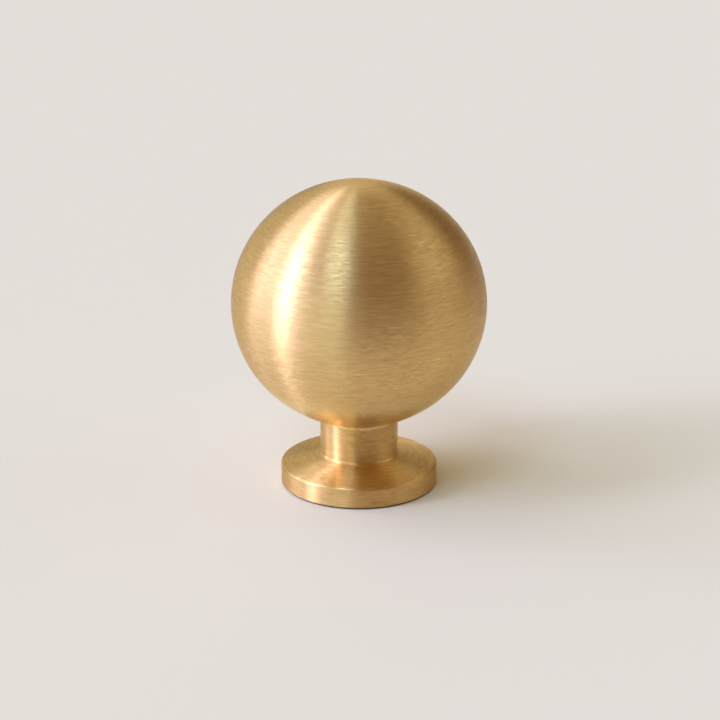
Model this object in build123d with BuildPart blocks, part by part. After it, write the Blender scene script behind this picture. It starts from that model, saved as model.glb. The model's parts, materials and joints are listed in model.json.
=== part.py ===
from build123d import *
import os
from math import acos, degrees, radians, sin, tan

# Ball cabinet knob, turned from one bar of brass: a slightly flattened ball on a short neck,
# over a round base with a sloping top, tapped from below for the door screw.
# Millimetres, +Z up, origin at the centre of the underside of the base.

# Ball
ball_diameter = 32.0
ball_height = 31.1

# Neck, its length measured on its own wall from the base up to the ball
neck_diameter = 9.9
neck_length = 5.0

# Base, whose top slopes up from the rim to the neck
base_diameter = 20.0
rim_height = 2.75
shoulder_rise = 1.25

# Edges
foot_chamfer = 0.25
rim_round = 0.35
shoulder_fillet = 0.35
throat_fillet = 0.3

# Blind hole for an M4 door screw, at its tapping size
tapping_diameter = 3.3
tapping_depth = 12.0
drill_point_angle = 118.0
countersink_width = 0.55
countersink_angle = 90.0

# Radii and heights that follow from the sizes above
ball_radius = ball_diameter / 2
neck_radius = neck_diameter / 2
base_radius = base_diameter / 2
shoulder_height = rim_height + shoulder_rise
throat_height = shoulder_height + neck_length
throat_angle = degrees(acos(neck_radius / ball_radius))
ball_centre_height = throat_height + ball_height / 2 * sin(radians(throat_angle))
tapping_radius = tapping_diameter / 2
countersink_radius = tapping_radius + countersink_width
countersink_depth = countersink_width / tan(radians(countersink_angle / 2))
drill_point_length = tapping_radius / tan(radians(drill_point_angle / 2))

with BuildPart() as knob:
    # The turned outline: base, neck and ball as one half section
    with BuildSketch(Plane.XZ):
        with BuildLine():
            centre_and_radii = ((0, ball_centre_height), ball_radius, ball_height / 2)
            upper_ball = EllipticalCenterArc(*centre_and_radii, start_angle=90, arc_size=-90)
            lower_ball = EllipticalCenterArc(*centre_and_radii, arc_size=-throat_angle)
            Polyline(
                upper_ball @ 0,
                (0, 0),
                (base_radius, 0),
                (base_radius, rim_height),
                (neck_radius, shoulder_height),
                lower_ball @ 1,
            )
        make_face()
    revolve(axis=Axis.Z)

    # Its turned edges from the underside up, all but the ball's smooth equator
    foot, rim, shoulder, throat = knob.edges().filter_by(GeomType.CIRCLE).sort_by(Axis.Z)[:-1]
    chamfer(foot, length=foot_chamfer)
    fillet(rim, radius=rim_round)
    fillet(shoulder, radius=shoulder_fillet)
    fillet(throat, radius=throat_fillet)

    # The blind screw hole with its countersunk mouth and drilled point
    with BuildSketch(Plane.XZ):
        with BuildLine():
            Polyline(
                (0, 0),
                (countersink_radius, 0),
                (tapping_radius, countersink_depth),
                (tapping_radius, tapping_depth),
                (0, tapping_depth + drill_point_length),
                close=True,
            )
        make_face()
    revolve(axis=Axis.Z, mode=Mode.SUBTRACT)

knob.part.label = "knob"

os.makedirs("parts", exist_ok=True)
export_step(knob.part, "parts/knob.step")
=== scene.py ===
import json
import bpy
import numpy as np
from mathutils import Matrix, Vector


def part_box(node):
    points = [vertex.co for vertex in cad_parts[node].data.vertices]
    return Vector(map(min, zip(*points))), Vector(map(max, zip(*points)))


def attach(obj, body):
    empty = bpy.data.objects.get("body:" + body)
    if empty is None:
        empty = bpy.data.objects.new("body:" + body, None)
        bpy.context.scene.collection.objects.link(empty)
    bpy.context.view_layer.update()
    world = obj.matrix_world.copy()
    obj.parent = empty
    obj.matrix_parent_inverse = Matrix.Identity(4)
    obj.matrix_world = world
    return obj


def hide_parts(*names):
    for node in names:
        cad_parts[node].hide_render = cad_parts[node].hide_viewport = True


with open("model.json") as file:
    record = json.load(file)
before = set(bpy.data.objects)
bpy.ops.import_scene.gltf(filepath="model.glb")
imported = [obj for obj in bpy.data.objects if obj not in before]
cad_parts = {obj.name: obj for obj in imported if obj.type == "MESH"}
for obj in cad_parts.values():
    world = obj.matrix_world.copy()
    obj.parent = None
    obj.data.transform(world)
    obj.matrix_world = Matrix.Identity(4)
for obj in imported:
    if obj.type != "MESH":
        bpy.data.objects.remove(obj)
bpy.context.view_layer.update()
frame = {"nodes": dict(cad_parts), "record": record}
mm = 0.001
print("frame loaded, nodes:", sorted(frame["nodes"]))


# One output socket, so that shader maths reads as Python: each operator adds a Math node.
class Wire:
    def __init__(self, tree, socket):
        self.tree = tree
        self.socket = socket

    # any node: its type, its settings (set first), then the values or links of its sockets
    @staticmethod
    def node(tree, kind, settings=None, inputs=None, output=0):
        made = tree.nodes.new(kind)
        for name, value in (settings or {}).items():
            setattr(made, name, value)
        for name, value in (inputs or {}).items():
            if isinstance(value, Wire):
                tree.links.new(value.socket, made.inputs[name])
            else:
                made.inputs[name].default_value = value
        return Wire(tree, made.outputs[output]) if len(made.outputs) else made

    # the x, y and z of a vector
    def parts(self):
        split = Wire.node(self.tree, "ShaderNodeSeparateXYZ", inputs={"Vector": self})
        return [Wire(self.tree, socket) for socket in split.socket.node.outputs]

    def math(self, operation, *values):
        return Wire.node(self.tree, "ShaderNodeMath", {"operation": operation}, dict(enumerate(values)))

    def __add__(self, other):
        return self.math("ADD", self, other)

    def __sub__(self, other):
        return self.math("SUBTRACT", self, other)

    def __rsub__(self, other):
        return self.math("SUBTRACT", other, self)

    def __mul__(self, other):
        return self.math("MULTIPLY", self, other)

    def __truediv__(self, other):
        return self.math("DIVIDE", self, other)

    def __pow__(self, other):
        return self.math("POWER", self, other)

    def __rpow__(self, other):
        return self.math("POWER", other, self)

    def __neg__(self):
        return self.math("MULTIPLY", self, -1.0)

    def __gt__(self, other):
        return self.math("GREATER_THAN", self, other)

    __radd__ = __add__
    __rmul__ = __mul__


# a soft step from 0 to 1 while value goes from low to high
def rise(value, low, high):
    return Wire.node(value.tree, "ShaderNodeMapRange", {"interpolation_type": "SMOOTHSTEP"}, {
        "Value": value, "From Min": low, "From Max": high, "To Min": 0.0, "To Max": 1.0,
    })


# the second colour laid over the first by a factor, or the first multiplied by it
def layColor(factor, first, second, blend="MIX"):
    return Wire.node(factor.tree, "ShaderNodeMix", {"data_type": "RGBA", "blend_type": blend}, {
        "Factor": factor, "A": first, "B": second,
    }, output="Result")


# the empty node tree of a new material or world
def freshTree(owner):
    owner.use_nodes = True
    owner.node_tree.nodes.clear()
    return owner.node_tree


# a mesh or a camera put into the scene
def addPiece(name, data):
    piece = bpy.data.objects.new(name, data)
    bpy.context.scene.collection.objects.link(piece)
    return piece


# The knob, one turned surface

nodeLow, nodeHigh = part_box("knob")
screwHole = next(mount for mount in frame["record"]["mounts"] if mount["name"] == "screw_hole")

knob = {
    "ballRadius": min(-nodeLow.x, nodeHigh.x),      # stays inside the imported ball's box
    "ballHeight": 31.1 * mm,
    "topHeight": nodeHigh.z,
    "neckRadius": 4.95 * mm,
    "throatFillet": 0.3 * mm,                       # hollow between neck and ball
    "shoulderHeight": 4.0 * mm,                     # foot of the neck
    "shoulderFillet": 0.35 * mm,
    "baseRadius": 10.0 * mm,
    "rimHeight": 2.75 * mm,
    "rimRound": 0.35 * mm,
    "footChamfer": 0.25 * mm,
    "edgeSoftness": 0.06 * mm,                      # broken edges of the chamfer and the countersink
    "holeRadius": screwHole["dims"]["r_mm"] * mm,
    "holeDepth": 12.0 * mm,
    "countersinkRadius": 2.2 * mm,
    "drillPointAngle": 118.0,
    "threadRadius": 2.0 * mm,                       # M4, at the bottom of the groove
    "threadPitch": 0.7 * mm,
    "threadFlat": 0.16,                             # share of the pitch left flat at crest and at root
    "threadEnd": 10.6 * mm,
    "threadRunOut": 1.4 * mm,                       # the tap's taper at the end of the thread
    "segments": 192,                                # points round the axis
    "ringsPerTurn": 11,                             # points along each turn of the thread
    "rings": {                                      # points along each stretch of the half section
        "ball": 170, "throat": 10, "neck": 16, "shoulder": 10, "slope": 22, "rim": 12,
        "wall": 12, "edge": 4, "chamfer": 4, "sole": 20, "drillPoint": 8,
    },
    "throatSearch": 4001,                           # places tried for where the hollow meets the ball
}


# points from start to end, closer together near both ends: half a cosine wave along the line
def straightRun(start, end, count):
    share = (1 - np.cos(np.pi * np.linspace(0, 1, count))) / 2
    return np.asarray(start) + share[:, None] * (np.asarray(end) - np.asarray(start))


# points on the circle about centre from one point of it to another, turned evenly the short way
def arcRun(centre, start, end, count):
    fromStart = np.asarray(start) - centre
    fromEnd = np.asarray(end) - centre
    cosine = fromStart @ fromEnd / (np.linalg.norm(fromStart) * np.linalg.norm(fromEnd))
    turn = np.arccos(np.clip(cosine, -1, 1))
    share = np.linspace(0, 1, count)[:, None]
    return centre + (np.sin((1 - share) * turn) * fromStart + np.sin(share * turn) * fromEnd) / np.sin(turn)


# a corner rounded by a circle that touches both of its legs: the touching points lie
# radius / tan(half angle) from the corner, the centre radius / sin(half angle) along the line that halves it
def roundedCorner(before, corner, after, radius, count):
    corner = np.asarray(corner)
    legIn = (np.asarray(before) - corner) / np.linalg.norm(np.asarray(before) - corner)
    legOut = (np.asarray(after) - corner) / np.linalg.norm(np.asarray(after) - corner)
    halfAngle = np.arccos(np.clip(legIn @ legOut, -1, 1)) / 2
    reach = radius / np.tan(halfAngle)
    middle = (legIn + legOut) / np.linalg.norm(legIn + legOut)
    centre = corner + middle * radius / np.sin(halfAngle)
    return arcRun(centre, corner + legIn * reach, corner + legOut * reach, count)


# ball and throat as (radius, height) points from just below the pole: the ball is an ellipse, and where its
# points, moved out by the hollow's radius, reach the neck's radius plus that, the hollow has its centre
def ballOutline(size):
    ballRadius = size["ballRadius"]
    ballRise = size["ballHeight"] / 2
    ballCentre = size["topHeight"] - ballRise
    fillet = size["throatFillet"]
    angle = np.linspace(-0.5 * np.pi, 0, size["throatSearch"])
    normal = np.stack([np.cos(angle) / ballRadius, np.sin(angle) / ballRise], 1)
    normal /= np.linalg.norm(normal, axis=1)[:, None]
    movedRadius = ballRadius * np.cos(angle) + fillet * normal[:, 0]
    touchAngle = np.interp(size["neckRadius"] + fillet, movedRadius, angle)
    turn = np.linspace(0.5 * np.pi, touchAngle, size["rings"]["ball"])[1:]
    ball = np.stack([ballRadius * np.cos(turn), ballCentre + ballRise * np.sin(turn)], 1)
    touchNormal = np.array([np.cos(touchAngle) / ballRadius, np.sin(touchAngle) / ballRise])
    centre = ball[-1] + fillet * touchNormal / np.linalg.norm(touchNormal)
    throat = arcRun(centre, ball[-1], centre - np.array([fillet, 0]), size["rings"]["throat"])
    return np.concatenate([ball, throat[1:]])


# the half section from just below the pole to the mouth of the hole: straight runs between rounded corners
def turnedOutline(size):
    rings = size["rings"]
    softness = size["edgeSoftness"]
    upper = ballOutline(size)
    shoulder = (size["neckRadius"], size["shoulderHeight"])
    rim = (size["baseRadius"], size["rimHeight"])
    wallEnd = (size["baseRadius"], size["footChamfer"])
    soleStart = (size["baseRadius"] - size["footChamfer"], 0.0)
    mouth = (size["countersinkRadius"], 0.0)
    mouthEnd = (size["holeRadius"], size["countersinkRadius"] - size["holeRadius"])
    # each stretch's points, then the corner that ends it
    stretches = [
        (rings["neck"], roundedCorner(upper[-1], shoulder, rim, size["shoulderFillet"], rings["shoulder"])),
        (rings["slope"], roundedCorner(shoulder, rim, wallEnd, size["rimRound"], rings["rim"])),
        (rings["wall"], roundedCorner(rim, wallEnd, soleStart, softness, rings["edge"])),
        (rings["chamfer"], roundedCorner(wallEnd, soleStart, mouth, softness, rings["edge"])),
        (rings["sole"], roundedCorner(soleStart, mouth, mouthEnd, softness, rings["edge"])),
    ]
    runs = [upper]
    for count, corner in stretches:
        runs.append(straightRun(runs[-1][-1], corner[0], count)[1:])
        runs.append(corner[1:])
    return np.concatenate(runs)


# the tapped hole as radius over (height, turn): a trapezoid wave that climbs one pitch a turn, its crests at
# the drilled radius and its roots at the thread's, faded out by the tap's taper and cut by the countersink
def tappedHole(size, startHeight, angle):
    turns = (size["holeDepth"] - startHeight) / size["threadPitch"]
    height = np.linspace(startHeight, size["holeDepth"], int(turns * size["ringsPerTurn"]))[1:]
    phase = (height[:, None] / size["threadPitch"] - angle / (2 * np.pi)) % 1.0
    wave = np.abs(2 * phase - 1)
    groove = np.clip((wave - size["threadFlat"]) / (1 - 2 * size["threadFlat"]), 0, 1)
    fade = np.clip((size["threadEnd"] - height) / size["threadRunOut"], 0, 1)
    depth = (size["threadRadius"] - size["holeRadius"]) * fade[:, None] * groove
    cone = size["countersinkRadius"] - height
    radius = np.maximum(size["holeRadius"] + depth, cone[:, None])
    return radius, np.broadcast_to(height[:, None], radius.shape)


# rings of (radius, height) over angle, closed by one point at each end of the axis:
# x = radius times cosine, y = radius times sine
def turnedMesh(name, radius, height, topHeight, tipHeight, angle):
    rings, segments = radius.shape
    body = np.stack([radius * np.cos(angle), radius * np.sin(angle), height], 2).reshape(-1, 3)
    points = np.concatenate([body, [[0, 0, topHeight], [0, 0, tipHeight]]])
    ring, segment = np.meshgrid(np.arange(rings - 1), np.arange(segments), indexing="ij")
    after = (segment + 1) % segments
    quads = np.stack([
        ring * segments + segment,
        (ring + 1) * segments + segment,
        (ring + 1) * segments + after,
        ring * segments + after,
    ], 2).reshape(-1, 4)
    around = np.arange(segments)
    following = (around + 1) % segments
    top = len(points) - 2
    tip = len(points) - 1
    lastRing = (rings - 1) * segments
    topFan = np.stack([np.full(segments, top), around, following], 1)
    tipFan = np.stack([np.full(segments, tip), lastRing + following, lastRing + around], 1)
    mesh = bpy.data.meshes.new(name)
    mesh.from_pydata(points.tolist(), [], quads.tolist() + topFan.tolist() + tipFan.tolist())
    mesh.polygons.foreach_set("use_smooth", np.ones(len(mesh.polygons), dtype=bool))
    return mesh


# outline, tapped hole and drill point as rings of one surface, from the pole to the tip of the hole
def makeKnob(size):
    angle = np.linspace(0, 2 * np.pi, size["segments"], endpoint=False)
    outline = turnedOutline(size)
    holeRadius, holeHeight = tappedHole(size, outline[-1, 1], angle)
    tipHeight = size["holeDepth"] + size["holeRadius"] / np.tan(np.radians(size["drillPointAngle"] / 2))
    holeEnd = (size["holeRadius"], size["holeDepth"])
    point = straightRun(holeEnd, (0.0, tipHeight), size["rings"]["drillPoint"])[1:-1]
    around = np.ones(size["segments"])
    radius = np.concatenate([outline[:, :1] * around, holeRadius, point[:, :1] * around])
    height = np.concatenate([outline[:, 1:] * around, holeHeight, point[:, 1:] * around])
    mesh = turnedMesh("knobBrass", radius, height, size["topHeight"], tipHeight, angle)

    # distance along the half section from the top of the ball, in millimetres, which the brushing follows
    section = np.stack([radius.mean(1), height[:, 0]], 1)
    section = np.concatenate([[[0, size["topHeight"]]], section, [[0, tipHeight]]])
    run = np.concatenate([[0], np.cumsum(np.linalg.norm(np.diff(section, axis=0), axis=1))]) / mm
    perPoint = np.concatenate([np.repeat(run[1:-1], size["segments"]), [run[0], run[-1]]])
    mesh.attributes.new("run", "FLOAT", "POINT").data.foreach_set("value", perPoint.astype(np.float32))
    return addPiece("knobBrass", mesh)


# Brushed brass

brass = {
    "color": (0.865, 0.592, 0.258, 1.0),
    "deepColor": (0.720, 0.474, 0.196, 1.0),        # in the brush lines
    "throatPaintedLight": (0.94, 0.72, 0.34, 1.0),         # lighter metal in the throat: painted light that brightens its reflection
    "basePaintedShade": (0.95, 0.915, 0.85, 1.0),           # painted shade: neck and base, under the ball, a little darker than the ball
    "footPaintedShade": (0.20, 0.12, 0.05, 1.0),           # painted shade: a dark contact shadow on the small chamfer that meets the door
    "footShadeRadius": (9.5 * mm, 9.65 * mm),
    "footShadeHeight": (0.20 * mm, 0.30 * mm),
    "grazingTint": (0.86, 0.85, 0.81, 1.0),         # brass dims a little at the edge of the ball
    "anisotropy": 1.0,
    "brushTurn": 0.25,                              # a quarter turn: lines go round the axis
    # finer towards the throat; the runs are the mm from the pole over which each stretch takes over
    "roughness": {"crown": 0.42, "underside": 0.33, "throat": 0.21, "base": 0.385},
    "undersideRun": (20.7, 33.0),
    "throatRun": (33.0, 38.5),
    "baseRun": (44.4, 45.0),                        # neck and base
    "linesRun": (1.5, 6.5),                         # the lines, from the even satin at the pole
    # noise drawn out into lines: length and width in mm, place in the noise, finer layers
    "fineLine": {"length": 1.6, "width": 0.10, "shift": 0.0, "detail": 1.0},
    "broadLine": {"length": 4.0, "width": 0.25, "shift": 11.0, "detail": 2.0},
    "scratch": {"length": 8.0, "width": 0.09, "shift": 23.0, "detail": 0.0},
    "polishLine": {"length": 1.0, "width": 0.03, "shift": 37.0, "detail": 0.0},
    "layerShare": 0.6,                              # strength of each finer layer beside the one before
    "coarser": 0.4,                                 # neck and base have lines this share fewer
    "fineShare": 0.62,                              # the rest of the lines' depth is broad
    # noise levels between which each kind of line goes from none to full
    "lineSpan": (0.33, 0.67),
    "scratchSpan": (0.62, 0.78),
    "polishSpan": (0.35, 0.65),
    "lineDepth": 0.0025 * mm,
    "scratchDepth": 0.5,                            # share of the lines' depth
    "scratchTone": 0.06,
    "polishSpread": 0.25,                           # the lines differ in polish by this share, both ways
}


# one metal whose colour, roughness and bump follow the lines, with an even satin of it at the pole
def makeBrass(look):
    material = bpy.data.materials.new("brushedBrass")
    tree = freshTree(material)
    place = Wire.node(tree, "ShaderNodeTexCoord", output="Object")
    acrossX, acrossY, height = place.parts()
    radius = (acrossX * acrossX + acrossY * acrossY) ** 0.5
    run = Wire.node(tree, "ShaderNodeAttribute", {"attribute_name": "run"}, output="Fac")
    onUnderside = rise(run, *look["undersideRun"])
    inThroat = rise(run, *look["throatRun"])
    onBase = rise(run, *look["baseRun"])
    # painted shade: the ring of the foot's chamfer where the contact shadow is painted
    inFootShade = rise(radius, *look["footShadeRadius"]) * (1 - rise(height, *look["footShadeHeight"]))

    # the section's length, shortened beyond the ball so that the lines there come out coarser
    pastBall = run - look["baseRun"][0]
    brushRun = run - look["coarser"] * pastBall * (pastBall > 0.0)

    # long thin flecks: slow round the axis, quick along the section
    def brushing(line):
        spot = Wire.node(tree, "ShaderNodeCombineXYZ", inputs={
            "X": acrossX / (line["length"] * mm) + line["shift"],
            "Y": acrossY / (line["length"] * mm) + line["shift"],
            "Z": brushRun / line["width"],
        })
        return Wire.node(tree, "ShaderNodeTexNoise", inputs={
            "Vector": spot, "Scale": 1.0, "Detail": line["detail"], "Roughness": look["layerShare"],
        }, output="Fac")

    fine = look["fineShare"] * brushing(look["fineLine"])
    broad = (1 - look["fineShare"]) * brushing(look["broadLine"])
    lines = fine + broad
    scratch = rise(brushing(look["scratch"]), *look["scratchSpan"])
    polish = rise(brushing(look["polishLine"]), *look["polishSpan"])

    shade = rise(lines - look["scratchTone"] * scratch, *look["lineSpan"])
    tone = layColor(shade, look["deepColor"], look["color"])
    # painted light: the throat made lighter so that its reflection shows brighter
    bright = layColor(inThroat - onBase, tone, look["throatPaintedLight"])
    # painted shade: neck and base darkened a little, as under the ball
    baseShaded = layColor(onBase, bright, look["basePaintedShade"], "MULTIPLY")
    # painted shade: the contact shadow laid dark on the foot's chamfer
    color = layColor(inFootShade, baseShaded, look["footPaintedShade"])

    rough = look["roughness"]
    level = rough["crown"] + (rough["underside"] - rough["crown"]) * onUnderside
    level = level + (rough["throat"] - rough["underside"]) * inThroat
    level = level + (rough["base"] - rough["throat"]) * onBase
    roughness = level * (1 + look["polishSpread"] * (1 - 2 * polish))

    bump = Wire.node(tree, "ShaderNodeBump", inputs={
        "Strength": 1.0, "Distance": look["lineDepth"], "Height": lines - look["scratchDepth"] * scratch,
    })

    def metal(anisotropy):
        return Wire.node(tree, "ShaderNodeBsdfPrincipled", inputs={
            "Base Color": color,
            "Metallic": 1.0,
            "Specular Tint": look["grazingTint"],
            "Roughness": roughness,
            "Anisotropic": anisotropy,
            "Anisotropic Rotation": look["brushTurn"],
            "Normal": bump,
        })

    # at the pole the lines lose their direction, so an even satin takes their place
    shader = Wire.node(tree, "ShaderNodeMixShader", inputs={
        0: rise(run, *look["linesRun"]), 1: metal(0.0), 2: metal(look["anisotropy"]),
    })
    Wire.node(tree, "ShaderNodeOutputMaterial", inputs={"Surface": shader})
    return material


knobPiece = makeKnob(knob)
knobPiece.data.materials.append(makeBrass(brass))
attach(knobPiece, "root")
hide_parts("knob")
print("knob made:", len(knobPiece.data.polygons), "faces")


# Pale floor

floor = {
    "halfSize": 2.5,
    "color": (0.797, 0.746, 0.590, 1.0),
    "roughness": 0.6,
    "gloss": 0.0,
}


# a flat square sheet at the height of the underside
def makeFloor(size):
    corners = size["halfSize"] * np.array([[-1, -1, 0], [1, -1, 0], [1, 1, 0], [-1, 1, 0]])
    mesh = bpy.data.meshes.new("floor")
    mesh.from_pydata(corners.tolist(), [], [[0, 1, 2, 3]])
    material = bpy.data.materials.new("paleFloor")
    tree = freshTree(material)
    shader = Wire.node(tree, "ShaderNodeBsdfPrincipled", inputs={
        "Base Color": size["color"],
        "Roughness": size["roughness"],
        "Specular IOR Level": size["gloss"],
    })
    Wire.node(tree, "ShaderNodeOutputMaterial", inputs={"Surface": shader})
    mesh.materials.append(material)
    return addPiece("floor", mesh)


makeFloor(floor)
print("floor laid")


# Studio light, painted on the world as soft panels in a dim dome

studio = {
    "domeColor": (0.185, 0.092, 0.022),
    "backdrop": (0.775, 0.725, 0.69, 1.0),          # seen past the floor's edge
    # azimuth from the camera's side, positive to the right, elevation and half sizes, in degrees
    "panels": {
        "key": {
            "azimuth": -72.7, "elevation": 24.5, "width": 7.4, "height": 23.1,
            "color": (7.1, 7.3, 11.4, 1.0),
        },
        "wash": {
            "azimuth": -79.3, "elevation": 15.3, "width": 35.4, "height": 26.2,
            "color": (1.66, 1.95, 3.1, 1.0),
        },
        "left": {
            "azimuth": -108.7, "elevation": 39.1, "width": 8.9, "height": 39.9,
            "color": (1.8, 1.85, 2.85, 1.0),
        },
        "front": {
            "azimuth": -28.3, "elevation": 52.8, "width": 10.4, "height": 11.2,
            "color": (3.2, 4.75, 7.0, 1.0),
        },
        "right": {
            "azimuth": 93.4, "elevation": 34.1, "width": 28.6, "height": 14.7,
            "color": (0.885, 0.94, 0.85, 1.0),
        },
        "overhead": {
            "azimuth": 202.6, "elevation": 40.7, "width": 35.1, "height": 62.3,
            "color": (0.60, 0.655, 0.56, 1.0),
        },
        "backLow": {
            "azimuth": 250.7, "elevation": 0.6, "width": 37.9, "height": 3.0,
            "color": (2.34, 2.32, 2.34, 1.0),
        },
        "frontLow": {
            "azimuth": -32.0, "elevation": 2.4, "width": 19.3, "height": 5.7,
            "color": (2.7, 3.1, 2.65, 1.0),
        },
    },
}


# the dome's colour plus each panel's, a soft-edged rectangle of directions: e to the minus sum of the fourth
# powers of the two offsets from its middle, each over its half size, on the half of the sky that it is in
def lightStudio(light):
    world = bpy.data.worlds.new("studio")
    bpy.context.scene.world = world
    tree = freshTree(world)
    direction = Wire.node(tree, "ShaderNodeTexCoord", output="Generated")
    upright = np.array([0.0, 0.0, 1.0])
    black = (0.0, 0.0, 0.0, 1.0)

    # how far the direction goes along an axis
    def along(axis):
        return Wire.node(tree, "ShaderNodeVectorMath", {"operation": "DOT_PRODUCT"}, {
            0: direction, 1: tuple(axis),
        }, output="Value")

    total = light["domeColor"]
    for panel in light["panels"].values():
        azimuth = np.radians(panel["azimuth"])
        elevation = np.radians(panel["elevation"])
        level = np.array([np.sin(azimuth), -np.cos(azimuth), 0.0])
        facing = np.cos(elevation) * level + np.sin(elevation) * upright
        upward = np.cos(elevation) * upright - np.sin(elevation) * level
        sideways = np.cross(facing, upward)
        offsetX = along(sideways) / np.sin(np.radians(panel["width"]))
        offsetY = along(upward) / np.sin(np.radians(panel["height"]))
        shape = (along(facing) > 0.0) * np.e ** -(offsetX ** 4 + offsetY ** 4)
        shown = layColor(shape, black, panel["color"])
        total = Wire.node(tree, "ShaderNodeVectorMath", {"operation": "ADD"}, {0: total, 1: shown})
    seen = Wire.node(tree, "ShaderNodeLightPath", output="Is Camera Ray")
    color = layColor(seen, total, light["backdrop"])
    shader = Wire.node(tree, "ShaderNodeBackground", inputs={"Color": color, "Strength": 1.0})
    Wire.node(tree, "ShaderNodeOutputWorld", inputs={"Surface": shader})


lightStudio(studio)
print("studio lit with", len(studio["panels"]), "panels")


# Camera at the photograph's angle

view = {
    "target": (0.125 * mm, 0.0, 16.255 * mm),
    "distance": 226.3 * mm,
    "elevation": 18.629,
    "lens": 89.49,
    "sensor": 36.0,
    "clip": (0.01, 20.0),
}


# in front of the target, at the distance along a line that rises by the elevation, looking back along it
def placeCamera(shot):
    camera = bpy.data.cameras.new("camera")
    camera.lens = shot["lens"]
    camera.sensor_width = shot["sensor"]
    camera.clip_start, camera.clip_end = shot["clip"]
    piece = addPiece("camera", camera)
    tilt = np.radians(shot["elevation"])
    away = Vector((0.0, -np.cos(tilt), np.sin(tilt)))
    piece.location = Vector(shot["target"]) + shot["distance"] * away
    piece.rotation_euler = (-away).to_track_quat("-Z", "Y").to_euler()
    bpy.context.scene.camera = piece


placeCamera(view)
bpy.context.scene.view_settings.view_transform = "Standard"
print("camera placed")
